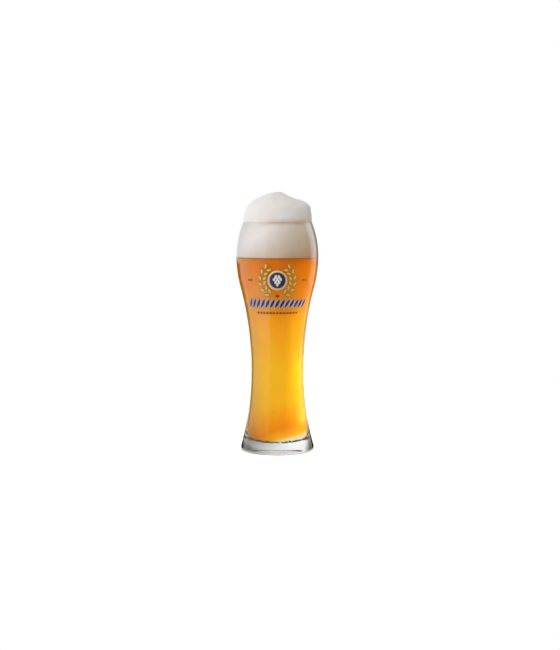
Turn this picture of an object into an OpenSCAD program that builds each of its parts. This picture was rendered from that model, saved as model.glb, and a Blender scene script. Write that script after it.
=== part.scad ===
// Tall waisted wheat beer glass, filled, with a head of foam and a fired-on enamel print.
// Millimetres. The origin is on the table under the glass's axis, +Z is up and the print faces -Y.

/* [Glass] */
// Height of the rim above the table
glass_h = 235; // [220:1:260]
// Largest outer diameter, at the bulge
bulge_d = 84; // [70:0.5:98]
// Step from the bulge in to the rim, at each side
rim_in = 6.5; // [3:0.25:12]
// Drop from the rim to the bulge
bulge_drop = 35; // [25:1:48]
// Radius of the convex arc below the bulge
bulge_arc_r = 120; // [80:1:180]
// Smallest outer diameter, at the waist
waist_d = 53.5; // [48:0.5:59]
// Height of the waist above the table
waist_z = 84; // [68:1:100]
// Largest outer diameter of the foot
foot_d = 76; // [68:0.5:84]
// Radius of the rounded heel under the foot
heel_r = 2.25; // [1.5:0.25:6]
// Wall thickness at the rim
rim_wall = 2; // [1.4:0.1:3]
// Wall thickness at the waist
waist_wall = 2.8; // [2.2:0.1:4]
// Step from the cavity's side at the waist in to its side at the inner floor
cavity_in = 3.5; // [1:0.25:7]
// Height of the inner floor above the table
floor_z = 9; // [6:0.5:14]
// Radius of the rounding between the wall and the inner floor
floor_round_r = 6; // [3:0.5:9]
// Width of the flat ring that the glass stands on
ring_w = 3.5; // [2:0.5:8]
// Rise of the hollow inside the standing ring
push_up = 0.5; // [0.25:0.25:4]

/* [Filling] */
// Drop from the rim to the line between beer and foam
beer_drop = 36; // [15:1:70]
// Rise of the foam's steep flank above the rim
foam_side_h = 14; // [4:0.5:24]
// Rise of the foam's crown above its flank
foam_crown_h = 16; // [4:0.5:24]
// Step from the rim's outer edge in to the foot of the foam's flank
foam_inset = 0.2; // [0.1:0.05:1.5]

/* [Print] */
// Thickness of the enamel
enamel_t = 0.1; // [0.05:0.01:0.3]
// Drop from the rim to the centre of the emblem
emblem_drop = 58; // [50:0.5:70]
// Diameter of the blue roundel
roundel_d = 16; // [13:0.5:20]
// Width of the gold ring round the roundel
gold_ring_w = 1.2; // [0.8:0.1:2]
// Width of the white line round the gold ring
white_line_w = 0.6; // [0.4:0.1:1.2]
// Gap between the white line and the grains of the ears
ear_gap = 1; // [0.6:0.1:3]
// Pairs of grains in each ear
ear_pairs = 6; // [4:1:6]
// Length of one grain
grain_l = 5.5; // [4:0.25:6]
// Width of one grain
grain_w = 2.8; // [1.8:0.1:3]
// Width of the dark line round each grain
grain_line_w = 0.3; // [0.2:0.05:0.4]
// Step from the middle of an ear out to each of its two rows of grains
grain_side = 2.4; // [2:0.1:3]
// Lean of each grain away from the middle of its ear
grain_tilt = 32; // [24:1:38]
// Angle at which each ear starts, below level
ear_start_angle = 54; // [48:1:62]
// Angle at which each ear ends, above level
ear_end_angle = 50; // [44:1:60]
// Width of the red tie under the ears
tie_w = 5; // [3:0.2:7]
// Height of the red tie
tie_h = 3.4; // [2:0.2:5]
// Gap between the emblem and the leaf frieze
frieze_gap = 0.4; // [0.2:0.1:4]
// Number of leaves in the frieze
leaf_count = 13; // [5:2:15]
// Step from leaf to leaf along the wall
leaf_step = 5; // [4:0.1:6]
// Length of one blue leaf
leaf_l = 11; // [7:0.5:13]
// Width of one blue leaf
leaf_w = 3; // [2:0.1:3.5]
// Width of the white line round each leaf
leaf_line_w = 0.5; // [0.3:0.05:0.6]
// Slant of the leaves from upright
leaf_slant = 28; // [0:1:35]
// Gap between the frieze and the row of dark beads under it
rule_gap = 3; // [1:0.1:6]
// Number of beads in that row
rule_count = 13; // [5:2:17]
// Gap between the ears and the beads at each side of them
side_gap = 5.5; // [2:0.5:10]
// Number of beads at each side
side_count = 2; // [1:1:4]
// Step from bead to bead along the wall
bead_step = 3.4; // [2.8:0.1:4]
// Width of one bead, a small lozenge
bead_w = 2.6; // [1:0.1:3.2]
// Height of one bead
bead_h = 2.6; // [1:0.1:3.2]

/* [Hidden] */
$fn = 96;

bulge_r = bulge_d / 2;
rim_r = bulge_r - rim_in;
waist_r = waist_d / 2;
foot_r = foot_d / 2;
lip_r = rim_wall / 2;
lip_z = glass_h - lip_r;
bulge_z = glass_h - bulge_drop;
beer_z = glass_h - beer_drop;

// Straight steps that stand for each round stretch of the profile
rim_steps = 9;
bulge_steps = 8;
waist_steps = 14;
flare_steps = 12;
heel_steps = 6;
lip_steps = 6;
floor_steps = 7;
hollow_steps = 6;

// Radius of an arc that starts upright and moves sideways by dr over a height dz
function arc_radius(dr, dz) = (dr * dr + dz * dz) / (2 * dr);

// Sideways drop of an arc of radius r at the distance h from its crown
function arc_drop(r, h) = r - sqrt(r * r - h * h);

// The rim arc ends at the lip, and the arcs of bulge and waist meet with a common tangent
rim_arc_r = arc_radius(bulge_r - rim_r, lip_z - bulge_z);
both_arcs_r = arc_radius(bulge_r - waist_r, bulge_z - waist_z);
waist_arc_r = both_arcs_r - bulge_arc_r;
tangent_z = bulge_z - bulge_arc_r * (bulge_z - waist_z) / both_arcs_r;

// The flare under the waist meets the round heel with a common tangent
ring_r = foot_r - heel_r;
flare_dr = ring_r - waist_r;
flare_dz = waist_z - heel_r;
flare_arc_r = (flare_dr * flare_dr + flare_dz * flare_dz - heel_r * heel_r) / (2 * (heel_r + flare_dr));
heel_angle = asin(flare_dz / (flare_arc_r + heel_r));
heel_z = heel_r + heel_r * sin(heel_angle);

// Outer radius of the glass at the height z, above the heel
function outer_r(z) =
    z > bulge_z ? bulge_r - arc_drop(rim_arc_r, z - bulge_z)
    : z > tangent_z ? bulge_r - arc_drop(bulge_arc_r, bulge_z - z)
    : z > waist_z ? waist_r + arc_drop(waist_arc_r, z - waist_z)
    : waist_r + arc_drop(flare_arc_r, waist_z - z);

// The cavity follows the outside down to the waist, and narrows in an arc of its own inside the thick foot
cavity_r = waist_r - waist_wall;
cavity_arc_r = arc_radius(cavity_in, waist_z - floor_z);
function wall(z) = rim_wall + (waist_wall - rim_wall) * (lip_z - z) / (lip_z - waist_z);
function inner_r(z) =
    z > waist_z ? outer_r(z) - wall(z)
    : cavity_r - arc_drop(cavity_arc_r, waist_z - z);

// The rounding of the inner floor meets that arc with a common tangent
round_z = floor_z + floor_round_r;
round_angle = -asin((waist_z - round_z) / (cavity_arc_r - floor_round_r));
round_c = cavity_r - cavity_arc_r + (cavity_arc_r - floor_round_r) * cos(round_angle);
round_top_z = round_z + floor_round_r * sin(round_angle);

// Heights from a to b in equal steps, without a itself
function climb(a, b, steps) = [for (i = [1:steps]) a + (b - a) * i / steps];

outer_zs = concat(
    climb(heel_z, waist_z, flare_steps),
    climb(waist_z, tangent_z, waist_steps),
    climb(tangent_z, bulge_z, bulge_steps),
    climb(bulge_z, lip_z, rim_steps));

// The inner wall has the same heights, and one more at the line between beer and foam
beer_wall_zs = concat(round_top_z, [for (z = outer_zs) if (z > round_top_z && z < beer_z) z], beer_z);
foam_wall_zs = concat(beer_z, [for (z = outer_zs) if (z > beer_z) z]);

// Points on a circle of radius r round the centre c, from angle a to angle b
function arc(c, r, a, b, steps) =
    [for (i = [0:steps]) let (t = a + (b - a) * i / steps) c + r * [cos(t), sin(t)]];

// Points of the wall at a list of heights, outside, inside and turned over
function outer_points(zs) = [for (z = zs) [outer_r(z), z]];
function inner_points(zs) = [for (z = zs) [inner_r(z), z]];
function turned(list) = [for (i = [len(list) - 1:-1:0]) list[i]];

// The rounded inner floor, from its middle to the wall
floor_points = concat(
    [[0, floor_z]],
    arc([round_c, round_z], floor_round_r, -90, round_angle, floor_steps));

// The underside: a shallow hollow, the flat standing ring and the round heel
hollow_r = ring_r - ring_w;
underside_points = concat(
    [for (i = [0:hollow_steps]) let (q = i / hollow_steps) [hollow_r * q, push_up * (1 - q * q)]],
    arc([ring_r, heel_r], heel_r, -90, heel_angle, heel_steps));

lip_points = arc([rim_r - lip_r, lip_z], lip_r, 0, 180, lip_steps);

module glass() {
    inside = concat(floor_points, inner_points(beer_wall_zs), inner_points(foam_wall_zs));
    color("azure", 0.4)
        rotate_extrude()
            polygon(concat(underside_points, outer_points(outer_zs), lip_points, turned(inside)));
}

module beer() {
    color("darkorange")
        rotate_extrude()
            polygon(concat(floor_points, inner_points(beer_wall_zs), [[0, beer_z]]));
}

// Foam: rings of points round the axis, up the inner wall, over the lip and across the mound
foam_sides = 48;
foam_rings = 15;
foam_crown_power = 1.8;
foam_lump_power = 8;
foam_r = rim_r - foam_inset;

// Each lump or dip of the mound: its place in shares of the mound's radius, its height, its width as a share
foam_lumps = [
    [0.8, -0.05, 1.6, 0.2],
    [0.47, -0.1, -2.2, 0.25],
    [0.5, 0.4, -1.5, 0.25],
    [-0.3, -0.5, 1.2, 0.25],
    [0.05, 0.1, 0.6, 0.2],
    [-0.6, 0.3, 0.8, 0.22]];

// The flank is steepest on the right, +X, and rounds off to the left
foam_left_power = 16;
foam_right_power = 56;
function foam_side_power(x, q) =
    (foam_left_power + foam_right_power) / 2 + (foam_right_power - foam_left_power) / 2 * x / max(q, 0.001);

function sum(list) = list * [for (v = list) 1];

// Rise of the mound above the rim at a place given as a share of its radius
function foam_rise(x, y) =
    let (q = min(norm([x, y]), 1))
    let (lumps = sum([for (p = foam_lumps) p[2] * exp(-pow(norm([x - p[0], y - p[1]]) / p[3], 2))]))
    foam_side_h * (1 - pow(q, foam_side_power(x, q)))
    + foam_crown_h * (1 - pow(q, foam_crown_power))
    + lumps * (1 - pow(q, foam_lump_power));

// The mound's rings crowd towards the steep flank
mound_shares = [for (i = [0:foam_rings - 1]) sqrt(cos(90 * i / foam_rings))];
lip_inside_points = [for (i = [lip_steps - 1:-1:lip_steps / 2]) lip_points[i]];
foam_wall_points = concat(inner_points(foam_wall_zs), lip_inside_points);

module foam_head() {
    wall_rings = [for (p = foam_wall_points) [for (i = [0:foam_sides - 1])
        let (a = 360 * i / foam_sides) [p[0] * cos(a), p[0] * sin(a), p[1]]]];
    mound_rings = [for (q = mound_shares) [for (i = [0:foam_sides - 1])
        let (a = 360 * i / foam_sides, x = q * cos(a), y = q * sin(a))
        [foam_r * x, foam_r * y, glass_h + foam_rise(x, y)]]];
    rings = concat(wall_rings, mound_rings);
    ring_points = [for (ring = rings) for (p = ring) p];
    bottom = len(ring_points);
    top = bottom + 1;
    last = foam_sides * (len(rings) - 1);
    sides = [for (j = [0:len(rings) - 2]) for (i = [0:foam_sides - 1])
        let (k = (i + 1) % foam_sides, low = j * foam_sides, high = low + foam_sides)
        each [[low + i, high + i, high + k], [low + i, high + k, low + k]]];
    ends = [for (i = [0:foam_sides - 1])
        let (k = (i + 1) % foam_sides)
        each [[bottom, i, k], [top, last + k, last + i]]];
    color("ivory")
        polyhedron(
            concat(ring_points, [[0, 0, beer_z], [0, 0, glass_h + foam_rise(0, 0)]]),
            concat(sides, ends));
}

// The rings round the roundel, and the arc that the ears follow outside them
roundel_r = roundel_d / 2;
gold_ring_r = roundel_r + gold_ring_w;
white_ring_r = gold_ring_r + white_line_w;
grain_reach = grain_side + (grain_l * sin(grain_tilt) + grain_w * cos(grain_tilt)) / 2;
ear_r = white_ring_r + ear_gap + grain_reach;

// Heights of the emblem, the frieze and the row of beads, each clear of the one above
emblem_z = glass_h - emblem_drop;
emblem_low = max(ear_r + tie_h / 2, (ear_r + grain_side) * sin(ear_start_angle) + grain_l / 2 + grain_line_w);
leaf_half_h = (leaf_l / 2 + leaf_line_w) * cos(leaf_slant);
frieze_z = emblem_z - emblem_low - frieze_gap - leaf_half_h;
rule_z = frieze_z - leaf_half_h - rule_gap - bead_h / 2;

// How far a motif's prism reaches in and out from the wall
reach = 8;

// A skin of enamel over the wall from the waist to the lip
module enamel_skin() {
    zs = [for (z = outer_zs) if (z >= waist_z) z];
    outside = [for (z = zs) [outer_r(z) + enamel_t, z]];
    rotate_extrude()
        polygon(concat(outer_points(zs), turned(outside)));
}

// Keeps the part of the skin that lies under the motifs
module printed() {
    intersection() {
        enamel_skin();
        union() children();
    }
}

// Puts a flat motif on the wall, u along the wall from the front and z up
module on_wall(u, z) {
    r = outer_r(z);
    rotate([0, 0, u / r * 180 / PI])
        translate([0, reach - r, z])
            rotate([90, 0, 0])
                linear_extrude(2 * reach)
                    children();
}

// Pointed oval of length l and width w, the common part of two circles
module oval(l, w) {
    r = (l * l + w * w) / (4 * w);
    intersection() {
        translate([r - w / 2, 0]) circle(r);
        translate([w / 2 - r, 0]) circle(r);
    }
}

module ring(outside_r, inside_r) {
    difference() {
        circle(outside_r);
        circle(inside_r);
    }
}

module lozenge(w, h) {
    polygon([[w / 2, 0], [0, h / 2], [-w / 2, 0], [0, -h / 2]]);
}

// Two ears of wheat: pairs of grains along an arc that opens at the top
module wheat_ears(l, w) {
    for (side = [-1, 1], pair = [0:ear_pairs - 1], row = [-1, 1]) {
        a = (ear_start_angle + ear_end_angle) * pair / (ear_pairs - 1) - ear_start_angle;
        r = ear_r + row * grain_side;
        on_wall(side * r * cos(a), emblem_z + r * sin(a))
            rotate(side * (a - row * grain_tilt)) oval(l, w);
    }
}

// Hop cone: the place of each pointed scale in shares of the roundel's radius, and its turn
hop_scales = [
    [0, -0.52, 0], [-0.22, -0.2, -14], [0.22, -0.2, 14],
    [0, 0.12, 0], [-0.4, 0.16, -26], [0.4, 0.16, 26],
    [-0.2, 0.46, -16], [0.2, 0.46, 16]];
hop_scale_l = 0.52 * roundel_r;
hop_scale_w = 0.32 * roundel_r;

module hop_cone() {
    for (s = hop_scales)
        translate(roundel_r * [s[0], s[1]])
            rotate(s[2]) oval(hop_scale_l, hop_scale_w);
}

// A row of slanted leaves round the front of the wall
module leaf_row(l, w) {
    for (i = [0:leaf_count - 1])
        on_wall((i - (leaf_count - 1) / 2) * leaf_step, frieze_z)
            rotate(-leaf_slant) oval(l, w);
}

module print_gold() {
    color("goldenrod") printed() {
        on_wall(0, emblem_z) ring(gold_ring_r, roundel_r);
        wheat_ears(grain_l, grain_w);
    }
}

module print_blue() {
    color("midnightblue") printed() {
        on_wall(0, emblem_z) difference() {
            circle(roundel_r);
            hop_cone();
        }
        leaf_row(leaf_l, leaf_w);
    }
}

module print_white() {
    color("white") printed() {
        on_wall(0, emblem_z) {
            ring(white_ring_r, gold_ring_r);
            hop_cone();
        }
        difference() {
            leaf_row(leaf_l + 2 * leaf_line_w, leaf_w + 2 * leaf_line_w);
            leaf_row(leaf_l, leaf_w);
        }
    }
}

// The tie where the two ears meet
module print_red() {
    color("firebrick") printed()
        on_wall(0, emblem_z - ear_r) lozenge(tie_w, tie_h);
}

// A row of beads round the place u, z
module bead_row(count, u, z) {
    for (i = [0:count - 1])
        on_wall(u + (i - (count - 1) / 2) * bead_step, z) lozenge(bead_w, bead_h);
}

// Lines round the grains, a row of beads under the frieze and a short one at each side of the ears
module print_black() {
    side_u = ear_r + grain_reach + side_gap + side_count * bead_step / 2;
    color("black") printed() {
        difference() {
            wheat_ears(grain_l + 2 * grain_line_w, grain_w + 2 * grain_line_w);
            wheat_ears(grain_l, grain_w);
        }
        bead_row(rule_count, 0, rule_z);
        for (side = [-1, 1])
            bead_row(side_count, side * side_u, emblem_z);
    }
}

glass();
beer();
foam_head();
print_gold();
print_blue();
print_white();
print_red();
print_black();
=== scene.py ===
"""Looks of a tall wheat beer glass: clear glass, hazy beer, a head of foam and a fired-on enamel print.

Metres throughout. The axis of the glass is Z, the table is z = 0 and the print faces -Y.
"""

import bpy
import numpy as np
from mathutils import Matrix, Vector


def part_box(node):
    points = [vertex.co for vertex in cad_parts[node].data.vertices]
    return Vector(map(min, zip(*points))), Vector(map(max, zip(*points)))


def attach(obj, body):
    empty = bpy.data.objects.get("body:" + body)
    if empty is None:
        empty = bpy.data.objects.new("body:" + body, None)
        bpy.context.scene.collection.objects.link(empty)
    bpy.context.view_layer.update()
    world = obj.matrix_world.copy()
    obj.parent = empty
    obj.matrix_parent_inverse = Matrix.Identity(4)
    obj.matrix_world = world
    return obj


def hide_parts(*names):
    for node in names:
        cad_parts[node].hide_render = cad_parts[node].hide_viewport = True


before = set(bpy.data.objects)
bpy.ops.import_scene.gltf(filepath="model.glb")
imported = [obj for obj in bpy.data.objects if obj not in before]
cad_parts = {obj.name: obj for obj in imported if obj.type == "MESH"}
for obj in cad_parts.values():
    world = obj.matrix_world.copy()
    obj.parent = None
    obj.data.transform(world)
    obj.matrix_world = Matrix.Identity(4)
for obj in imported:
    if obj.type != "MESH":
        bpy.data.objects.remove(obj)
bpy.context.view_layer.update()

MM = 0.001

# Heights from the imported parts
GLASS_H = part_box("glass")[1].z
FLOOR_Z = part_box("beer")[0].z
BEER_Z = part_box("beer")[1].z

# Sizes of the glass
BULGE_R = 42 * MM
BULGE_Z = GLASS_H - 35 * MM
BULGE_ARC_R = 120 * MM
RIM_R = BULGE_R - 6.5 * MM
WAIST_R = 26.75 * MM
WAIST_Z = 84 * MM
FOOT_R = 38 * MM
HEEL_R = 2.25 * MM
RIM_WALL = 2 * MM
WAIST_WALL = 2.8 * MM
CAVITY_IN = 3.5 * MM
FLOOR_ROUND_R = 3 * MM
RING_W = 3.5 * MM
PUSH_UP = 0.5 * MM

# Worked out from those sizes
LIP_R = RIM_WALL / 2
LIP_Z = GLASS_H - LIP_R
RING_R = FOOT_R - HEEL_R
HOLLOW_R = RING_R - RING_W

# The liquids reach a little into the wall, so that no film of air shows between them and the glass
WALL_OVERLAP = 0.3 * MM

# Steps round the axis
GLASS_STEPS = 240
BEER_STEPS = 192
FOAM_STEPS = 288


def arc_radius(side, rise):
    """Radius of an arc that starts upright and moves sideways by side over the height rise."""
    return (side**2 + rise**2) / (2 * side)


def arc_drop(radius, distance):
    """Sideways drop of an arc at a distance from its crown."""
    return radius - np.sqrt(np.maximum(radius**2 - distance**2, 0))


RIM_ARC_R = arc_radius(BULGE_R - RIM_R, LIP_Z - BULGE_Z)
BOTH_ARCS_R = arc_radius(BULGE_R - WAIST_R, BULGE_Z - WAIST_Z)
WAIST_ARC_R = BOTH_ARCS_R - BULGE_ARC_R
TANGENT_Z = BULGE_Z - BULGE_ARC_R * (BULGE_Z - WAIST_Z) / BOTH_ARCS_R
FLARE_SIDE = RING_R - WAIST_R
FLARE_RISE = WAIST_Z - HEEL_R
FLARE_ARC_R = (FLARE_SIDE**2 + FLARE_RISE**2 - HEEL_R**2) / (2 * (HEEL_R + FLARE_SIDE))
HEEL_ANGLE = np.degrees(np.arcsin(FLARE_RISE / (FLARE_ARC_R + HEEL_R)))
HEEL_Z = HEEL_R + HEEL_R * np.sin(np.radians(HEEL_ANGLE))

# Inside the thick foot the cavity narrows in an arc, which the rounding of the inner floor touches
CAVITY_R = WAIST_R - WAIST_WALL
CAVITY_ARC_R = arc_radius(CAVITY_IN, WAIST_Z - FLOOR_Z)
ROUND_Z = FLOOR_Z + FLOOR_ROUND_R
ROUND_ANGLE = -np.degrees(np.arcsin((WAIST_Z - ROUND_Z) / (CAVITY_ARC_R - FLOOR_ROUND_R)))
ROUND_C = CAVITY_R - CAVITY_ARC_R + (CAVITY_ARC_R - FLOOR_ROUND_R) * np.cos(np.radians(ROUND_ANGLE))
ROUND_TOP_Z = ROUND_Z + FLOOR_ROUND_R * np.sin(np.radians(ROUND_ANGLE))


def outer_radius(z):
    """Outer radius of the wall at height z: arcs of the rim, bulge, waist and flare, from the top."""
    return np.select(
        [z > BULGE_Z, z > TANGENT_Z, z > WAIST_Z],
        [
            BULGE_R - arc_drop(RIM_ARC_R, z - BULGE_Z),
            BULGE_R - arc_drop(BULGE_ARC_R, BULGE_Z - z),
            WAIST_R + arc_drop(WAIST_ARC_R, z - WAIST_Z),
        ],
        WAIST_R + arc_drop(FLARE_ARC_R, WAIST_Z - z),
    )


def inner_radius(z):
    """Outer radius less a wall that thickens evenly to the waist, and below it the cavity's own arc."""
    wall = RIM_WALL + (WAIST_WALL - RIM_WALL) * (LIP_Z - z) / (LIP_Z - WAIST_Z)
    cavity = CAVITY_R - arc_drop(CAVITY_ARC_R, WAIST_Z - z)
    return np.where(z > WAIST_Z, outer_radius(z) - wall, cavity)


def liquid_radius(z):
    """Radius of the beer or the foam at height z: the inner radius and the overlap."""
    return inner_radius(z) + WALL_OVERLAP


def arc_points(centre, radius, start, end, count):
    """Points of (radius, height) on a circle round centre, from the angle start to end in degrees."""
    angle = np.radians(np.linspace(start, end, count))
    return np.column_stack([centre[0] + radius * np.cos(angle), centre[1] + radius * np.sin(angle)])


def wall_points(radius_at, low, high, count):
    """Points of (radius, height) of a wall from the height low to high."""
    z = np.linspace(low, high, count)
    return np.column_stack([radius_at(z), z])


def even_angles(steps):
    """Angles of one full turn in equal steps."""
    return 2 * np.pi * np.arange(steps) / steps


def rings_round(profile, steps):
    """Rings of points round the axis, one for each (radius, height) of a profile."""
    angle = even_angles(steps)
    radius, height = profile.T[:, :, None]
    return np.stack([radius * np.cos(angle), radius * np.sin(angle), height + 0 * angle], axis=-1)


def skin(rings, first, last):
    """Points and faces of closed skins over rings of points, with one point closing each end.

    rings has the shape (copies, rings, steps round, 3), and first and last (copies, 3). Faces turn outwards
    where the rings climb as they run counter-clockwise.
    """
    copies, count, around, _ = rings.shape
    per_copy = count * around + 2
    points = np.concatenate([rings.reshape(copies, -1, 3), first[:, None], last[:, None]], axis=1)
    number = np.arange(count * around).reshape(count, around)
    ahead = np.roll(number, -1, axis=1)
    start = np.full(around, count * around)
    end = start + 1
    quads = np.stack([number[:-1], ahead[:-1], ahead[1:], number[1:]], axis=-1).reshape(-1, 4)
    fans = np.concatenate([
        np.stack([start, ahead[0], number[0]], axis=-1),
        np.stack([end, number[-1], ahead[-1]], axis=-1),
    ])
    shift = (np.arange(copies) * per_copy)[:, None, None]
    faces = (quads + shift).reshape(-1, 4).tolist() + (fans + shift).reshape(-1, 3).tolist()
    return points.reshape(-1, 3), faces


def turned(profile, steps):
    """Skin of a half outline of (radius, height) carried round the axis. Its two ends lie on the axis."""
    rings = rings_round(profile[1:-1], steps)
    ends = np.column_stack([np.zeros((2, 2)), profile[[0, -1], 1]])
    return skin(rings[None], ends[:1], ends[1:])


def floor_profile(overlap):
    """The rounded inner floor from the axis to the wall, grown by an overlap."""
    low = FLOOR_Z - overlap
    rounding = arc_points((ROUND_C, ROUND_Z), FLOOR_ROUND_R + overlap, -90, ROUND_ANGLE, count=28)
    return np.vstack([[[0, low], [ROUND_C / 2, low]], rounding])


def glass_profile():
    """Hollow underside, standing ring, heel, outer wall, lip, inner wall and floor, as one half outline."""
    share = np.linspace(0, 1, 16)
    return np.vstack([
        np.column_stack([HOLLOW_R * share, PUSH_UP * (1 - share**2)]),
        arc_points((RING_R, HEEL_R), HEEL_R, -90, HEEL_ANGLE, count=24),
        wall_points(outer_radius, HEEL_Z, LIP_Z, count=170)[1:],
        arc_points((RIM_R - LIP_R, LIP_Z), LIP_R, 0, 180, count=20)[1:],
        wall_points(inner_radius, LIP_Z, ROUND_TOP_Z, count=150)[1:],
        floor_profile(overlap=0)[-2::-1],
    ])


def beer_profile():
    """Rounded floor, wall and flat top of the beer, as one half outline."""
    wall = wall_points(liquid_radius, ROUND_TOP_Z, BEER_Z, count=140)
    return np.vstack([floor_profile(WALL_OVERLAP), wall[1:], [[wall[-1, 0] / 2, BEER_Z], [0, BEER_Z]]])


# Foam mound, with the same rule as the part: a steep flank, a crown, and lumps and dips across it
FOAM_R = RIM_R - 0.2 * MM
FOAM_SIDE_H = 14 * MM
FOAM_CROWN_H = 16 * MM
FOAM_CROWN_POWER = 1.8
FOAM_LUMP_POWER = 8
FOAM_LEFT_POWER = 16
FOAM_RIGHT_POWER = 56
# Place in shares of the mound's radius, height, width as a share
FOAM_LUMPS = [
    (0.8, -0.05, 1.6 * MM, 0.2),
    (0.47, -0.1, -2.2 * MM, 0.25),
    (0.5, 0.4, -1.5 * MM, 0.25),
    (-0.3, -0.5, 1.2 * MM, 0.25),
    (0.05, 0.1, 0.6 * MM, 0.2),
    (-0.6, 0.3, 0.8 * MM, 0.22),
]
# Fine lumps on the mound: height, grain size and seed. They swell away from a point inside the foam, and
# reach their full height a little above the rim.
FOAM_FLUFF = [(0.16 * MM, 9 * MM, 3), (0.05 * MM, 3.5 * MM, 4)]
FLUFF_CENTRE_Z = GLASS_H - 25 * MM
FLUFF_FULL_H = 4 * MM
FOAM_RINGS = 120


def foam_rise(x, y):
    """Rise of the mound above the rim at a place in shares of its radius: flank, crown and lumps.

    Flank and crown fall off as a power of the distance from the axis, and each lump is a round bell.
    """
    share = np.minimum(np.hypot(x, y), 1)
    middle = (FOAM_LEFT_POWER + FOAM_RIGHT_POWER) / 2
    power = middle + (FOAM_RIGHT_POWER - middle) * x / np.maximum(share, 0.001)
    lumps = sum(h * np.exp(-((x - a) ** 2 + (y - b) ** 2) / w**2) for a, b, h, w in FOAM_LUMPS)
    flank = FOAM_SIDE_H * (1 - share**power)
    crown = FOAM_CROWN_H * (1 - share**FOAM_CROWN_POWER)
    return flank + crown + lumps * (1 - share**FOAM_LUMP_POWER)


def cloud(points, size, seed, waves=40):
    """Smooth random field of about the given grain size: the sum of plane waves in random directions."""
    rng = np.random.default_rng(seed)
    direction = rng.normal(size=(waves, 3))
    direction /= np.linalg.norm(direction, axis=1, keepdims=True)
    number = direction * (2 * np.pi / size) * rng.uniform(0.7, 1.4, (waves, 1))
    return np.sin(points @ number.T + rng.uniform(0, 2 * np.pi, waves)).sum(-1) / np.sqrt(waves / 2)


def foam_skin():
    """Flat bottom, the inner wall, the inside of the lip, then the mound with its fine lumps."""
    wall = np.vstack([
        [[inner_radius(BEER_Z) / 2, BEER_Z]],
        wall_points(liquid_radius, BEER_Z, LIP_Z, count=40),
        arc_points((RIM_R - LIP_R, LIP_Z), LIP_R - WALL_OVERLAP, 180, 90, count=8)[1:],
    ])
    angle = even_angles(FOAM_STEPS)
    share = np.cos(np.linspace(0, np.pi / 2, FOAM_RINGS + 1)[:-1])[:, None]
    x, y = share * np.cos(angle), share * np.sin(angle)
    mound = np.stack([FOAM_R * x, FOAM_R * y, GLASS_H + foam_rise(x, y)], axis=-1)
    away = mound - [0, 0, FLUFF_CENTRE_Z]
    away /= np.linalg.norm(away, axis=-1, keepdims=True)
    fluff = sum(height * cloud(mound, size, seed) for height, size, seed in FOAM_FLUFF)
    hold = np.clip((mound[..., 2:] - GLASS_H) / FLUFF_FULL_H, 0, 1)
    mound = mound + away * fluff[..., None] * hold
    rings = np.concatenate([rings_round(wall, FOAM_STEPS), mound])
    top = mound[-1].mean(0)
    return skin(rings[None], np.array([[0, 0, BEER_Z]]), top[None])


# Print on the wall
EMBLEM_Z = GLASS_H - 58 * MM
ROUNDEL_R = 8 * MM
GOLD_RING_R = ROUNDEL_R + 1.2 * MM
WHITE_RING_R = GOLD_RING_R + 0.6 * MM
EAR_GAP = 1 * MM
EAR_PAIRS = 6
EAR_START, EAR_END = -54, 50
GRAIN = (5.5 * MM, 2.8 * MM)
GRAIN_LINE = 0.3 * MM
GRAIN_SIDE = 2.4 * MM
GRAIN_TILT = 32
TIE = (5 * MM, 3.4 * MM)
FRIEZE_GAP = 0.4 * MM
LEAF_COUNT = 13
LEAF_STEP = 5 * MM
LEAF = (11 * MM, 3 * MM)
LEAF_LINE = 0.5 * MM
LEAF_SLANT = 28
RULE_GAP = 3 * MM
RULE_COUNT = 13
SIDE_GAP = 5.5 * MM
SIDE_COUNT = 2
BEAD_STEP = 3.4 * MM
BEAD = (2.6 * MM, 2.6 * MM)

TILT_SIN, TILT_COS = np.sin(np.radians(GRAIN_TILT)), np.cos(np.radians(GRAIN_TILT))
GRAIN_REACH = GRAIN_SIDE + (GRAIN[0] * TILT_SIN + GRAIN[1] * TILT_COS) / 2
EAR_R = WHITE_RING_R + EAR_GAP + GRAIN_REACH
GRAIN_LOW = (EAR_R + GRAIN_SIDE) * np.sin(np.radians(-EAR_START)) + GRAIN[0] / 2 + GRAIN_LINE
EMBLEM_LOW = max(EAR_R + TIE[1] / 2, GRAIN_LOW)
LEAF_HALF_H = (LEAF[0] / 2 + LEAF_LINE) * np.cos(np.radians(LEAF_SLANT))
FRIEZE_Z = EMBLEM_Z - EMBLEM_LOW - FRIEZE_GAP - LEAF_HALF_H
RULE_Z = FRIEZE_Z - LEAF_HALF_H - RULE_GAP - BEAD[1] / 2

# Hop cone: place of each scale in shares of the roundel's radius, and its turn
HOP_SCALES = np.array([
    (0, -0.52, 0), (-0.22, -0.2, -14), (0.22, -0.2, 14), (0, 0.12, 0),
    (-0.4, 0.16, -26), (0.4, 0.16, 26), (-0.2, 0.46, -16), (0.2, 0.46, 16),
])
HOP_SCALE = (0.52 * ROUNDEL_R, 0.32 * ROUNDEL_R)

# Lifts of the enamel passes off the glass: its back is sunk, later passes lie on earlier ones
ENAMEL_BACK = -0.04 * MM
FIRST_PASS, SECOND_PASS, THIRD_PASS, FOURTH_PASS = 0.05 * MM, 0.075 * MM, 0.1 * MM, 0.125 * MM

# Rings of an enamel plate, from its middle to its edge
PLATE_RINGS = [0, 0.35, 0.7, 1]


def oval(length, width, count=40):
    """Outline of a pointed oval, the common part of two circles, with its long axis upright."""
    radius = (length**2 + width**2) / (4 * width)
    along = np.cos(np.linspace(0, np.pi, count // 2 + 1)) * length / 2
    half = np.sqrt(radius**2 - along**2) - (radius - width / 2)
    left = np.column_stack([-half, along])[:-1]
    right = np.column_stack([half, along])[::-1][:-1]
    return np.vstack([left, right])


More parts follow.
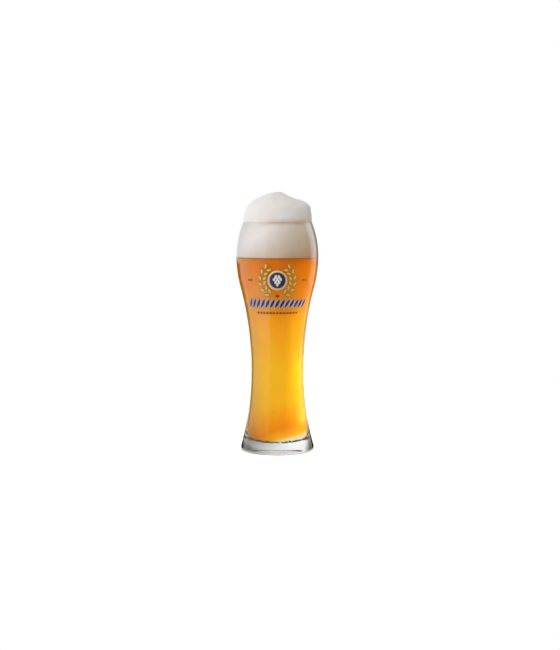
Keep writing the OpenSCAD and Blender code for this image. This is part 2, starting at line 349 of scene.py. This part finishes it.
def disc(radius, count=96):
    """Outline of a circle."""
    angle = even_angles(count)
    return radius * np.column_stack([np.cos(angle), np.sin(angle)])


def lozenge(width, height, count=6):
    """Outline of a lozenge, with each of its sides cut into equal steps."""
    corners = np.array([(width / 2, 0), (0, height / 2), (-width / 2, 0), (0, -height / 2)])
    share = np.linspace(0, 1, count, endpoint=False)[None, :, None]
    return (corners[:, None] * (1 - share) + np.roll(corners, -1, axis=0)[:, None] * share).reshape(-1, 2)


def on_wall(outline, places, turns, lift):
    """Thin plates of enamel on the wall, one for each place (along the wall, height) and turn in degrees.

    Each plate is the outline shrunk towards its middle in rings, on its back and then on its face. The angle
    of a point is its place along the wall over the radius there, plus the angle of its own step.
    """
    places = np.atleast_2d(places)
    turn = np.radians(np.broadcast_to(turns, len(places)))[:, None]
    across = outline[:, 0] * np.cos(turn) - outline[:, 1] * np.sin(turn)
    up = outline[:, 0] * np.sin(turn) + outline[:, 1] * np.cos(turn)
    shrink = np.array(PLATE_RINGS + PLATE_RINGS[::-1])[None, :, None]
    height_off = np.repeat([ENAMEL_BACK, lift], len(PLATE_RINGS))[None, :, None]
    step = shrink * across[:, None]
    z = places[:, 1, None, None] + shrink * up[:, None]
    radius = outer_radius(z)
    middle = places[:, 0] / outer_radius(places[:, 1])
    angle = middle[:, None, None] + np.arcsin(step / radius)
    reach = radius + height_off
    rings = np.stack([reach * np.sin(angle), -reach * np.cos(angle), z], axis=-1)
    return skin(rings[:, 1:-1], rings[:, 0, 0], rings[:, -1, 0])


def joined(*skins):
    """Points and faces of several skins as one."""
    starts = np.cumsum([0] + [len(points) for points, _ in skins])
    faces = [[i + start for i in face] for (_, group), start in zip(skins, starts) for face in group]
    return np.vstack([points for points, _ in skins]), faces


def ear_places():
    """Places and turns of the grains of both ears: pairs along an arc, each grain leaning out of its row."""
    pair_angles = np.linspace(EAR_START, EAR_END, EAR_PAIRS)
    side, pair, row = (a.ravel() for a in np.meshgrid([-1, 1], pair_angles, [-1, 1]))
    radius = EAR_R + row * GRAIN_SIDE
    across = side * radius * np.cos(np.radians(pair))
    up = EMBLEM_Z + radius * np.sin(np.radians(pair))
    return np.column_stack([across, up]), side * (pair - row * GRAIN_TILT)


def row_places(count, step, middle, z):
    """Places of an even row round a middle along the wall."""
    along = middle + (np.arange(count) - (count - 1) / 2) * step
    return np.column_stack([along, np.full(count, z)])


def grown(size, line):
    """Length and width of a shape with an outline of the given width round it."""
    return [length + 2 * line for length in size]


def print_skins():
    """Skins of the five enamel passes by name of the part that each stands for."""
    emblem = [0, EMBLEM_Z]
    grain_places, grain_turns = ear_places()
    leaf_places = row_places(LEAF_COUNT, LEAF_STEP, 0, FRIEZE_Z)
    hop_places = HOP_SCALES[:, :2] * ROUNDEL_R + emblem
    side_u = EAR_R + GRAIN_REACH + SIDE_GAP + SIDE_COUNT * BEAD_STEP / 2
    bead_places = np.vstack([
        row_places(RULE_COUNT, BEAD_STEP, 0, RULE_Z),
        row_places(SIDE_COUNT, BEAD_STEP, -side_u, EMBLEM_Z),
        row_places(SIDE_COUNT, BEAD_STEP, side_u, EMBLEM_Z),
    ])
    return {
        "print_white": joined(
            on_wall(disc(WHITE_RING_R), emblem, 0, FIRST_PASS),
            on_wall(oval(*grown(LEAF, LEAF_LINE)), leaf_places, -LEAF_SLANT, FIRST_PASS),
            on_wall(oval(*HOP_SCALE), hop_places, HOP_SCALES[:, 2], FOURTH_PASS)),
        "print_black": joined(
            on_wall(oval(*grown(GRAIN, GRAIN_LINE)), grain_places, grain_turns, FIRST_PASS),
            on_wall(lozenge(*BEAD), bead_places, 0, FIRST_PASS)),
        "print_gold": joined(
            on_wall(disc(GOLD_RING_R), emblem, 0, SECOND_PASS),
            on_wall(oval(*GRAIN), grain_places, grain_turns, THIRD_PASS)),
        "print_blue": joined(
            on_wall(disc(ROUNDEL_R), emblem, 0, THIRD_PASS),
            on_wall(oval(*LEAF), leaf_places, -LEAF_SLANT, THIRD_PASS)),
        "print_red": on_wall(lozenge(*TIE), [0, EMBLEM_Z - EAR_R], 0, THIRD_PASS),
    }


# Gas bubbles that cling to the rounding of the inner floor and to the wall at the right of the front
BUBBLE_SEED = 11
BUBBLE_STEPS, BUBBLE_RINGS = 8, 3
BUBBLE_FLATNESS = 0.6
# Least, most common and largest radius, in millimetres
BUBBLE_RADII = (0.3, 0.45, 0.9)
# On the floor: how many, their slopes round the rounding, and how they grow towards both sides
FLOOR_BUBBLES = 440
FLOOR_BUBBLE_SLOPES = (-84, -64, -22)
FLOOR_BUBBLE_GROWTH = 1.2
# On the wall: how many, their angles round the axis, their heights, and how much smaller they are
WALL_BUBBLES = 18
WALL_BUBBLE_TURNS = (-46, -32)
WALL_BUBBLE_HEIGHTS = (22 * MM, 110 * MM)
WALL_BUBBLE_SHARE = 0.6


def bubble_skin():
    """Small flat bubbles along the rounding of the floor and here and there on the wall.

    Each is a low ball, pressed flat across the wall: its middle plus a share of the ball along three
    directions there, which run round the axis, along the wall and out of it.
    """
    rng = np.random.default_rng(BUBBLE_SEED)
    floor_turn = rng.uniform(0, 2 * np.pi, FLOOR_BUBBLES)
    wall_turn = np.radians(rng.uniform(*WALL_BUBBLE_TURNS, WALL_BUBBLES))
    turn = np.concatenate([floor_turn, wall_turn])
    floor_slope = rng.triangular(*FLOOR_BUBBLE_SLOPES, FLOOR_BUBBLES)
    slope = np.radians(np.concatenate([floor_slope, np.zeros(WALL_BUBBLES)]))
    size = rng.triangular(*BUBBLE_RADII, FLOOR_BUBBLES + WALL_BUBBLES) * MM
    size[:FLOOR_BUBBLES] *= 1 + FLOOR_BUBBLE_GROWTH * np.abs(np.cos(floor_turn))
    size[FLOOR_BUBBLES:] *= WALL_BUBBLE_SHARE
    reach = FLOOR_ROUND_R + WALL_OVERLAP
    radius = ROUND_C + reach * np.cos(slope)
    z = ROUND_Z + reach * np.sin(slope)
    z[FLOOR_BUBBLES:] = rng.uniform(*WALL_BUBBLE_HEIGHTS, WALL_BUBBLES)
    radius[FLOOR_BUBBLES:] = liquid_radius(z[FLOOR_BUBBLES:])
    middle = np.column_stack([radius * np.cos(turn), radius * np.sin(turn), z])
    round_axis = np.column_stack([-np.sin(turn), np.cos(turn), 0 * turn])
    outward = np.column_stack([np.cos(slope) * np.cos(turn), np.cos(slope) * np.sin(turn), np.sin(slope)])
    along = np.cross(outward, round_axis)
    angle = even_angles(BUBBLE_STEPS)
    tilt = np.linspace(-np.pi / 2, np.pi / 2, BUBBLE_RINGS + 2)[1:-1, None]
    flat = BUBBLE_FLATNESS * np.sin(tilt) + 0 * angle
    ball = np.stack([np.cos(tilt) * np.cos(angle), np.cos(tilt) * np.sin(angle), flat], axis=-1)
    ways = np.stack([round_axis, along, outward], axis=1) * size[:, None, None]
    rings = middle[:, None, None] + ball @ ways[:, None]
    pole = BUBBLE_FLATNESS * ways[:, 2]
    return skin(rings, middle - pole, middle + pole)


class Nodes:
    """Short helper that adds nodes to the tree of one material or world and links them."""

    def __init__(self, owner, output="ShaderNodeOutputMaterial"):
        self.owner = owner
        owner.use_nodes = True
        self.tree = owner.node_tree
        self.tree.nodes.clear()
        self.output = self.add(output)

    def add(self, kind, values=(), **settings):
        """A node with settings, and values for its inputs: numbers, colours or other nodes' outputs."""
        node = self.tree.nodes.new(kind)
        for key, value in settings.items():
            setattr(node, key, value)
        for key, value in dict(values).items():
            if isinstance(value, bpy.types.NodeSocket):
                self.tree.links.new(value, node.inputs[key])
            else:
                node.inputs[key].default_value = value
        return node

    def shader(self, kind, values=()):
        """Output of a shader node."""
        return self.add(kind, values).outputs[0]

    def surface(self, shader):
        """Sends a shader to the surface of the material or world, and returns its owner."""
        self.tree.links.new(shader, self.output.inputs["Surface"])
        return self.owner

    def place(self):
        """Place in the object, in metres."""
        return self.add("ShaderNodeTexCoord").outputs["Object"]

    def parts(self, vector):
        """The X, Y and Z of a vector."""
        return self.add("ShaderNodeSeparateXYZ", {"Vector": vector}).outputs

    def math(self, operation, *values):
        """Result of an operation on one, two or three values."""
        return self.add("ShaderNodeMath", enumerate(values), operation=operation).outputs["Value"]

    def vector_math(self, operation, *values):
        """Number that comes from one or two vectors."""
        return self.add("ShaderNodeVectorMath", enumerate(values), operation=operation).outputs["Value"]

    def mix(self, share, colour, other, blend_type="MIX"):
        """Colour with a share of another. The node keeps its colours at inputs 6 and 7 and output 2."""
        values = {0: share, 6: colour, 7: other}
        return self.add("ShaderNodeMix", values, data_type="RGBA", blend_type=blend_type).outputs[2]

    def noise(self, size, detail=3.0):
        """Noise on Object coordinates with grains of about the given size."""
        values = {"Vector": self.place(), "Scale": 1 / size, "Detail": detail}
        return self.add("ShaderNodeTexNoise", values).outputs["Fac"]

    def ramp(self, factor, stops):
        """Colours along a factor, from stops of (position, colour)."""
        node = self.add("ShaderNodeValToRGB", {"Fac": factor})
        elements = node.color_ramp.elements
        while len(elements) < len(stops):
            elements.new(0.5)
        for element, (position, colour) in zip(elements, stops):
            element.position = position
            element.color = (*colour, 1)
        return node.outputs["Color"]

    def greys(self, factor, stops):
        """Greys along a factor, from stops of (position, tone)."""
        return self.ramp(factor, [(position, (tone, tone, tone)) for position, tone in stops])

    def range(self, factor, low, high, to_low, to_high):
        """Maps a factor from one range to another, held at both ends."""
        return self.add("ShaderNodeMapRange", {
            "Value": factor, "From Min": low, "From Max": high, "To Min": to_low, "To Max": to_high,
        }).outputs["Result"]

    def bump(self, factor, distance, strength=1.0):
        """Normal from a height factor of 0 to 1 that stands for the given distance."""
        return self.add("ShaderNodeBump", {
            "Height": factor, "Distance": distance, "Strength": strength,
        }).outputs["Normal"]


def new_material(name):
    """Node helper of a new material."""
    return Nodes(bpy.data.materials.new(name))


def clear_glass():
    """Polished soda-lime glass with faint smears. Lamps shine through it."""
    n = new_material("clear_glass")
    smears = n.range(n.noise(18 * MM), 0.45, 0.75, 0.0, 0.03)
    glass = n.shader("ShaderNodeBsdfPrincipled", {
        "Base Color": (0.985, 0.995, 0.99, 1),
        "Roughness": smears,
        "IOR": 1.5,
        "Transmission Weight": 1.0,
    })
    lamplit = n.shader("ShaderNodeBsdfTransparent", {"Color": (0.95, 0.95, 0.95, 1)})
    shadow = n.add("ShaderNodeLightPath").outputs["Is Shadow Ray"]
    return n.surface(n.shader("ShaderNodeMixShader", {0: shadow, 1: glass, 2: lamplit}))


# Colours of the beer from the inner floor, 0, to the foam, 1. The pale first two are a painted glow of
# light.
BEER_COLOURS = [
    (0.0, (0.97, 0.9, 0.7)),
    (0.012, (0.98, 0.74, 0.24)),
    (0.03, (0.97, 0.47, 0.02)),
    (0.08, (0.88, 0.315, 0.003)),
    (0.22, (0.98, 0.55, 0.016)),
    (0.38, (0.98, 0.585, 0.02)),
    (0.65, (0.97, 0.46, 0.015)),
    (1.0, (0.78, 0.175, 0.006)),
]
# Painted light: a warm yellow on the beer's right flank, low down
PAINTED_FLANK_LIGHT_COLOUR = (0.98, 0.7, 0.05, 1)
# Painted light on the beer's underside, and painted shade on it at the left
PAINTED_LIT_UNDERSIDE = (0.95, 0.93, 0.88)
PAINTED_SHADE_UNDERSIDE = (0.2, 0.2, 0.2)
# How the scale of colours changes with each metre across, which paints light and shade from side to side:
# its stretch towards both sides and towards the right, and its shift at the right and at the left
BEER_SIDE_STRETCH = -4.25
BEER_LEAN = 3.45
BEER_RIGHT_SHIFT = -0.9
BEER_LEFT_SHIFT = -3.4


def wheat_beer():
    """Hazy beer: light scatters deep inside, and it is deeper orange high up and near the floor.

    The place on the scale of colours is the height, stretched and shifted by the place across, which paints
    light and shade from side to side. The palest colours at the floor are a painted glow. A flank low at the
    right has painted light in warm yellow. The underside has painted light from the table, and painted shade
    at the left.
    """
    n = new_material("wheat_beer")
    across, _, up = n.parts(n.place())
    swirl = n.range(n.noise(30 * MM), 0, 1, 0.9, 1.1)
    # Painted light and shade: the colour scale shifts with the place across
    side_stretch = n.math("MULTIPLY_ADD", n.math("ABSOLUTE", across), BEER_SIDE_STRETCH, swirl)
    stretch = n.math("MULTIPLY_ADD", across, BEER_LEAN, side_stretch)
    right_shift = n.math("MULTIPLY", across, BEER_RIGHT_SHIFT)
    left_shift = n.math("MULTIPLY", across, BEER_LEFT_SHIFT)
    height = n.range(up, FLOOR_Z, BEER_Z, 0, 1)
    haze_and_painted_light = n.math("MULTIPLY_ADD", height, stretch, n.math("MAXIMUM", right_shift, left_shift))
    # Painted light: a flank low at the right is mixed towards warm yellow
    flank = n.range(across, 15.5 * MM, 22.5 * MM, 0, 0.95)
    flank_foot = n.range(up, 21 * MM, 31 * MM, 0, 1)
    flank_top = n.range(up, 42 * MM, 62 * MM, 1, 0)
    painted_flank_light = n.math("MULTIPLY", flank, n.math("MULTIPLY", flank_foot, flank_top))
    body = n.mix(painted_flank_light, n.ramp(haze_and_painted_light, BEER_COLOURS), PAINTED_FLANK_LIGHT_COLOUR)
    # Painted light and shade on the faces turned down: pale, and shaded towards the left
    _, _, facing_up = n.parts(n.add("ShaderNodeNewGeometry").outputs["Normal"])
    facing_down = n.range(facing_up, -0.95, -0.8, 1, 0)
    from_left = n.range(across, -20 * MM, 0, 0, 1)
    underside = n.ramp(from_left, [(0.2, PAINTED_SHADE_UNDERSIDE), (0.8, PAINTED_LIT_UNDERSIDE)])
    return n.surface(n.shader("ShaderNodeBsdfPrincipled", {
        "Base Color": n.mix(facing_down, body, underside),
        "Roughness": 0.15,
        "IOR": 1.34,
        "Specular IOR Level": 0.2,
        "Subsurface Weight": 1.0,
        "Subsurface Radius": (1.0, 0.5, 0.12),
        "Subsurface Scale": 12 * MM,
    }))


# Colours of the foam from its wet foot, 0, to its dry crown, 1. Low down they are its beer-wet tint and
# painted shade.
FOAM_COLOURS = [
    (0.0, (0.54, 0.35, 0.225)),
    (0.07, (0.55, 0.435, 0.31)),
    (0.14, (0.56, 0.475, 0.365)),
    (0.21, (0.61, 0.505, 0.375)),
    (0.38, (0.685, 0.60, 0.51)),
    (0.5, (0.725, 0.655, 0.58)),
    (0.65, (0.79, 0.75, 0.74)),
    (0.8, (0.87, 0.84, 0.84)),
    (1.0, (0.84, 0.81, 0.79)),
]
# Direction in which the foam's colour grows paler: up, as it dries, and towards the left, as painted light
FOAM_DRY_AND_PAINTED_LIGHT_WAY = (-0.72, 0, 1)
RIM_SHADE = (0.8, 0.7, 0.52, 1)
RIM_SHADE_X = 8 * MM


def beer_foam():
    """Fine foam: pale cream, tinted near the beer, shaded in a band at the rim, dented by its bubbles."""
    n = new_material("beer_foam")
    place = n.place()
    patches = n.range(n.noise(12 * MM), 0.25, 0.75, -3 * MM, 3 * MM)
    # Painted light: the foam is paler towards the left as well as higher up
    dryness_and_painted_light = n.math("ADD", n.vector_math("DOT_PRODUCT", place, FOAM_DRY_AND_PAINTED_LIGHT_WAY), patches)
    tint = n.ramp(n.range(dryness_and_painted_light, BEER_Z - 20 * MM, BEER_Z + 50 * MM, 0, 1), FOAM_COLOURS)
    across, _, up = n.parts(place)
    above = n.range(up, GLASS_H, GLASS_H + 4 * MM, 1, 0)
    below = n.range(up, GLASS_H - 5 * MM, GLASS_H, 0, 1)
    off_middle = n.math("ABSOLUTE", n.math("SUBTRACT", across, RIM_SHADE_X))
    sideways = n.range(off_middle, 14 * MM, 28 * MM, 0.8, 0)
    shade = n.math("MULTIPLY", n.math("MULTIPLY", above, below), sideways)
    bubbles = n.add("ShaderNodeTexVoronoi", {"Vector": place, "Scale": 1 / (0.9 * MM)}).outputs["Distance"]
    return n.surface(n.shader("ShaderNodeBsdfPrincipled", {
        "Base Color": n.mix(shade, tint, RIM_SHADE, "MULTIPLY"),
        "Roughness": 0.75,
        "Specular IOR Level": 0.2,
        "Subsurface Weight": 1.0,
        "Subsurface Radius": (1.0, 0.85, 0.7),
        "Subsurface Scale": 3 * MM,
        "Normal": n.bump(bubbles, 0.18 * MM, 0.5),
    }))


def gas_bubble():
    """Small bubbles: painted dark where they would bend the light away, with a bright glint."""
    n = new_material("gas_bubble")
    tone = n.ramp(n.noise(1.5 * MM), [(0.4, (0.03, 0.02, 0.012)), (0.6, (0.16, 0.11, 0.06))])
    return n.surface(n.shader("ShaderNodeBsdfPrincipled", {"Base Color": tone, "Roughness": 0.12}))


def enamel(name, colour, worn):
    """Fired enamel: fine pits let a worn tone through, and the gloss varies with the screen's grain."""
    n = new_material(name)
    grain = n.noise(0.5 * MM)
    return n.surface(n.shader("ShaderNodeBsdfPrincipled", {
        "Base Color": n.ramp(grain, [(0.3, worn), (0.5, colour), (1.0, colour)]),
        "Roughness": n.range(grain, 0.3, 0.7, 0.38, 0.22),
        "Normal": n.bump(grain, 0.02 * MM),
    }))


# Enamel of each print colour: its slot, its colour and its worn tone
ENAMELS = {
    "print_gold": ("gold_enamel", (0.88, 0.58, 0.09), (0.60, 0.34, 0.04)),
    "print_blue": ("blue_enamel", (0.012, 0.022, 0.12), (0.05, 0.05, 0.12)),
    "print_white": ("white_enamel", (0.80, 0.78, 0.72), (0.62, 0.56, 0.45)),
    "print_red": ("red_enamel", (0.42, 0.015, 0.012), (0.3, 0.03, 0.01)),
    "print_black": ("dark_enamel", (0.015, 0.012, 0.012), (0.05, 0.03, 0.02)),
}


def mesh_piece(name, points, faces, material, slot, nodes=()):
    """A smooth piece on the object's one body, which stands for the named parts."""
    mesh = bpy.data.meshes.new(name)
    mesh.from_pydata(points.tolist(), [], faces)
    mesh.shade_smooth()
    mesh.materials.append(material)
    piece = bpy.data.objects.new(name, mesh)
    bpy.context.collection.objects.link(piece)
    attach(piece, "root")
    if nodes:
        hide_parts(*nodes)


def make_object():
    """Every piece of the object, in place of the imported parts."""
    vessel = turned(glass_profile(), GLASS_STEPS)
    beer = turned(beer_profile(), BEER_STEPS)
    mesh_piece("glass_vessel", *vessel, clear_glass(), "clear_glass", ["glass"])
    mesh_piece("beer_fill", *beer, wheat_beer(), "wheat_beer", ["beer"])
    mesh_piece("foam_mound", *foam_skin(), beer_foam(), "foam", ["foam_head"])
    mesh_piece("floor_bubbles", *bubble_skin(), gas_bubble(), "wheat_beer")
    skins = print_skins()
    for node, (slot, colour, worn) in ENAMELS.items():
        mesh_piece(node + "_enamel", *skins[node], enamel(slot, colour, worn), slot, [node])


# Stage: floor, world, lights, cards and camera
FLOOR_R = 0.55
FLOOR_FADE_R = 0.3
FLOOR_DROP = -0.02 * MM
# The floor's glow near the standing ring, by the share of the way from the first distance to the last:
# painted light under the foot, a painted contact shadow in a ring round it, then the even glow of the floor
CONTACT_START, CONTACT_END = 30 * MM, 42 * MM
FOOT_PAINTED_LIGHT_AND_SHADOW = [(0.1, 1), (0.3, 0.05), (0.65, 0.05), (0.75, 0.6)]
WORLD_LIGHT = 0.6


def seen_ray(n):
    """1 for rays from the camera, mirrors and glass, 0 for those that carry light to a surface."""
    path = n.add("ShaderNodeLightPath").outputs
    mirrored = n.math("MAXIMUM", path["Is Camera Ray"], path["Is Glossy Ray"])
    return n.math("MAXIMUM", mirrored, path["Is Transmission Ray"])


def stage_sheet(name, points, shader_of):
    """A flat sheet of the stage through its corner points, with the shader that a function builds."""
    n = new_material(name)
    mesh = bpy.data.meshes.new(name)
    mesh.from_pydata(points, [], [list(range(len(points)))])
    mesh.materials.append(n.surface(shader_of(n)))
    sheet = bpy.data.objects.new(name, mesh)
    bpy.context.collection.objects.link(sheet)
    return sheet


def floor_shader(n):
    """Pale matte floor with a glow for the eye alone, which fades out into the white background."""
    matte = n.shader("ShaderNodeBsdfDiffuse", {"Color": (0.8, 0.8, 0.8, 1)})
    far = n.vector_math("LENGTH", n.place())
    # Painted light under the foot and a painted contact shadow round it
    contact = n.greys(n.range(far, CONTACT_START, CONTACT_END, 0, 1), FOOT_PAINTED_LIGHT_AND_SHADOW)
    glow = n.shader("ShaderNodeEmission", {"Strength": n.math("MULTIPLY", seen_ray(n), contact)})
    both = n.shader("ShaderNodeAddShader", {0: matte, 1: glow})
    fade = n.range(far, FLOOR_FADE_R, FLOOR_R, 0, 1)
    clear = n.shader("ShaderNodeBsdfTransparent")
    return n.shader("ShaderNodeMixShader", {0: fade, 1: both, 2: clear})


def make_floor():
    """A flat disc under the glass."""
    edge = disc(FLOOR_R)
    points = np.column_stack([edge, np.full(len(edge), FLOOR_DROP)])
    stage_sheet("floor", points.tolist(), floor_shader)


def make_world():
    """White background to the eye, and a softer even light on every surface."""
    n = Nodes(bpy.data.worlds.new("studio"), "ShaderNodeOutputWorld")
    level = n.range(seen_ray(n), 0, 1, WORLD_LIGHT, 1)
    sky = n.shader("ShaderNodeBackground", {"Color": (1, 1, 1, 1), "Strength": level})
    bpy.context.scene.world = n.surface(sky)


def around(azimuth, distance, height):
    """Place at an azimuth in degrees from the camera's side, positive to the right."""
    angle = np.radians(azimuth)
    return Vector((distance * np.sin(angle), -distance * np.cos(angle), height))


def softbox(name, place, aim, size, radiance, colour=(1, 1, 1)):
    """Area lamp of the given width and height that shines towards aim with an even radiance."""
    lamp = bpy.data.lights.new(name, "AREA")
    lamp.shape = "RECTANGLE"
    lamp.size, lamp.size_y = size
    lamp.energy = radiance * np.pi * size[0] * size[1]
    lamp.color = colour
    holder = bpy.data.objects.new(name, lamp)
    holder.location = place
    holder.rotation_euler = (Vector(aim) - place).to_track_quat("-Z", "Y").to_euler()
    holder.visible_glossy = False
    bpy.context.collection.objects.link(holder)
    return holder


def make_lights():
    """A large cool softbox at the left, a warm one in front, a soft light above, a warm beam low behind."""
    body, foam, waist = (0, 0, 0.14), (0, 0, 0.2), (0, 0, 0.08)
    cool, warm, warmer = (0.97, 0.97, 1), (1, 0.96, 0.9), (1, 0.96, 0.88)
    softbox("key", around(-75, 0.9, 0.3), body, size=(1.6, 1.1), radiance=0.98, colour=cool)
    softbox("fill", around(15, 1.3, 0.4), body, size=(1.0, 0.8), radiance=2.72, colour=warm)
    softbox("top", around(30, 0.35, 1.1), foam, size=(0.7, 0.7), radiance=1.0)
    glow = softbox("glow", around(112, 0.5, 0.1), waist, size=(0.2, 0.12), radiance=3, colour=warmer)
    glow.data.spread = np.radians(34)
    glow.visible_transmission = False


EVERY_RAY = ("diffuse", "glossy", "transmission", "shadow")
MIRRORED = ("glossy",)
THROUGH_GLASS = ("transmission",)
SHADOW_ONLY = ("shadow",)


def card(name, corners, shader_of, seen_by):
    """A flat card with four corners, out of the camera's sight and seen by the named kinds of ray."""
    sheet = stage_sheet(name, corners, shader_of)
    sheet.visible_camera = False
    for ray in EVERY_RAY:
        setattr(sheet, "visible_" + ray, ray in seen_by)


def upright(start, end, low, high):
    """Corners of an upright card between two places on the table."""
    return [(*start, low), (*end, low), (*end, high), (*start, high)]


def flat(*places):
    """Corners of a card that lies on the table."""
    return [(x, y, 0) for x, y in places]


def strip(half_width, near, far):
    """Corners of a card that lies straight across the table."""
    return flat((-half_width, near), (half_width, near), (half_width, far), (-half_width, far))


def black(n):
    """Black felt."""
    return n.shader("ShaderNodeBsdfDiffuse", {"Color": (0.02, 0.02, 0.02, 1)})


def dim(n):
    """Dark grey screen."""
    return n.shader("ShaderNodeEmission", {"Strength": 0.12})


# Colours of the lit screen up to a height: weak at the table, yellow beside the beer, cool above
SCREEN_COLOURS_H = 0.2
SCREEN_COLOURS = [
    (0.2, (0.34, 0.31, 0.24)),
    (0.3, (0.66, 0.76, 0.34)),
    (0.82, (0.66, 0.74, 0.34)),
    (0.85, (0.75, 0.88, 1)),
]
SCREEN_FADE_START_Y, SCREEN_FADE_END_Y = 0.06, 0.16
SCREEN_STRENGTH = 2.3


def lit_screen(n):
    """Screen with a lamp behind it, whose colour follows the height, fading out at the front."""
    _, back, up = n.parts(n.place())
    tone = n.ramp(n.range(up, 0, SCREEN_COLOURS_H, 0, 1), SCREEN_COLOURS)
    strength = n.range(back, SCREEN_FADE_START_Y, SCREEN_FADE_END_Y, 0, SCREEN_STRENGTH)
    return n.shader("ShaderNodeEmission", {"Color": tone, "Strength": strength})


def grey_card(axis, low, high, stops):
    """Shader of a card whose grey tone runs along one axis, from stops of (share of the way, tone)."""
    def shader(n):
        along = n.parts(n.place())[axis]
        return n.shader("ShaderNodeEmission", {"Color": n.greys(n.range(along, low, high, 0, 1), stops)})
    return shader


# Places of the cards: the front of the room and its height, the cards beside and behind the glass with the
# tops of the low and the dim ones, and the strips on the table behind the glass
FRONT_Y = -1.6
ROOM_LOW, ROOM_HIGH = -0.6, 2
SIDE_X = 0.42
BACK_Y = 1.6
CARD_LOW = -0.1
LOW_TOP, DIM_TOP = 0.15, 0.8
STRIP_X = 0.5
STRIP_NEAR_Y, STRIP_MIDDLE_Y, STRIP_FAR_Y = 0.04, 0.07, 0.5


def make_cards():
    """Cards that the glass mirrors, for clear colour and dark edges, and grey ones that its foot shows."""
    left_front, right_front = (-0.95, FRONT_Y), (2.4, FRONT_Y)
    left_back, middle_back, right_back = (-SIDE_X, BACK_Y), (0, BACK_Y), (SIDE_X, BACK_Y)
    front_table = flat((-0.92, FRONT_Y), (1.2, FRONT_Y), (1.2, 0.2), (-0.02, -0.04))
    left_table = flat((-0.3, -0.12), (-0.01, -0.06), (-0.04, 0.04), (-0.3, 0.04))
    veil = grey_card("Y", FRONT_Y, 0.2, [(0, 0.43), (0.45, 0.5), (1, 0.9)])
    left = grey_card("Y", 0, BACK_Y, [(0, 1), (0.07, 0.1), (0.21, 0.1), (0.38, 1)])
    back = grey_card("X", -SIDE_X, SIDE_X, [(0, 1), (0.4, 0.8), (1, 0.47)])
    right = grey_card("Y", 0, BACK_Y, [
        (0, 1), (0.07, 0.04), (0.3, 0.05), (0.5, 0.27), (0.75, 0.41), (1, 0.47)])
    near = grey_card("X", -0.05, 0.05, [(0.35, 0.02), (0.42, 0.25), (0.58, 0.7), (0.65, 0.02)])
    table = grey_card("X", -STRIP_X, STRIP_X, [
        (0.32, 0.02), (0.42, 1), (0.5, 0.9), (0.58, 0.5), (0.68, 0.02)])
    card("card_front", upright(left_front, right_front, ROOM_LOW, ROOM_HIGH), black, EVERY_RAY)
    card("card_side", upright(right_front, (1.2, 0.5), ROOM_LOW, ROOM_HIGH), black, EVERY_RAY)
    card("card_table", front_table, black, MIRRORED)
    card("screen_right", upright((0.443, 0.078), (0.313, 0.324), 0, 0.7), lit_screen, MIRRORED)
    card("card_front_left", upright(left_front, (-1.6, 0.2), ROOM_LOW, ROOM_HIGH), veil, MIRRORED)
    card("card_back_left", upright((-SIDE_X, 0.35), left_back, CARD_LOW, LOW_TOP), black, MIRRORED)
    card("card_back_right", upright((SIDE_X, 0.45), right_back, CARD_LOW, DIM_TOP), dim, MIRRORED)
    card("card_back_low", upright(left_back, middle_back, CARD_LOW, LOW_TOP), black, MIRRORED)
    card("card_back", upright(middle_back, right_back, CARD_LOW, DIM_TOP), dim, MIRRORED)
    card("card_base_left", upright((-SIDE_X, 0), left_back, CARD_LOW, ROOM_HIGH), left, THROUGH_GLASS)
    card("card_base_back", upright(left_back, right_back, CARD_LOW, ROOM_HIGH), back, THROUGH_GLASS)
    card("card_base_right", upright((SIDE_X, 0), right_back, CARD_LOW, ROOM_HIGH), right, THROUGH_GLASS)
    card("card_floor_back", strip(STRIP_X, STRIP_NEAR_Y, STRIP_MIDDLE_Y), near, THROUGH_GLASS)
    card("card_floor_far", strip(STRIP_X, STRIP_MIDDLE_Y, STRIP_FAR_Y), table, THROUGH_GLASS)
    card("card_floor_left", left_table, black, THROUGH_GLASS)
    card("card_foot", strip(0.16, 0.02, 0.22), black, MIRRORED)
    card("flag_low_left", upright((-0.055, -0.08), (-0.055, 0.08), 0.006, 0.03), black, SHADOW_ONLY)


# Camera in front, with its focal length in pixels of a frame 650 pixels tall
CAMERA_PLACE = (0, -1.155, GLASS_H)
CAMERA_AIM = Vector((2.7 * MM, 0, 129 * MM))
FOCAL_PIXELS = 1124
FRAME_PIXELS = 650
SENSOR_WIDTH = 36


def make_camera():
    """Camera at the height of the rim, which looks a little down."""
    lens = bpy.data.cameras.new("camera")
    lens.sensor_width = SENSOR_WIDTH
    lens.lens = FOCAL_PIXELS * SENSOR_WIDTH / FRAME_PIXELS
    camera = bpy.data.objects.new("camera", lens)
    camera.location = CAMERA_PLACE
    camera.rotation_euler = (CAMERA_AIM - camera.location).to_track_quat("-Z", "Y").to_euler()
    bpy.context.collection.objects.link(camera)
    bpy.context.scene.camera = camera


make_object()
make_floor()
make_world()
make_lights()
make_cards()
make_camera()
bpy.context.scene.view_settings.view_transform = "Standard"
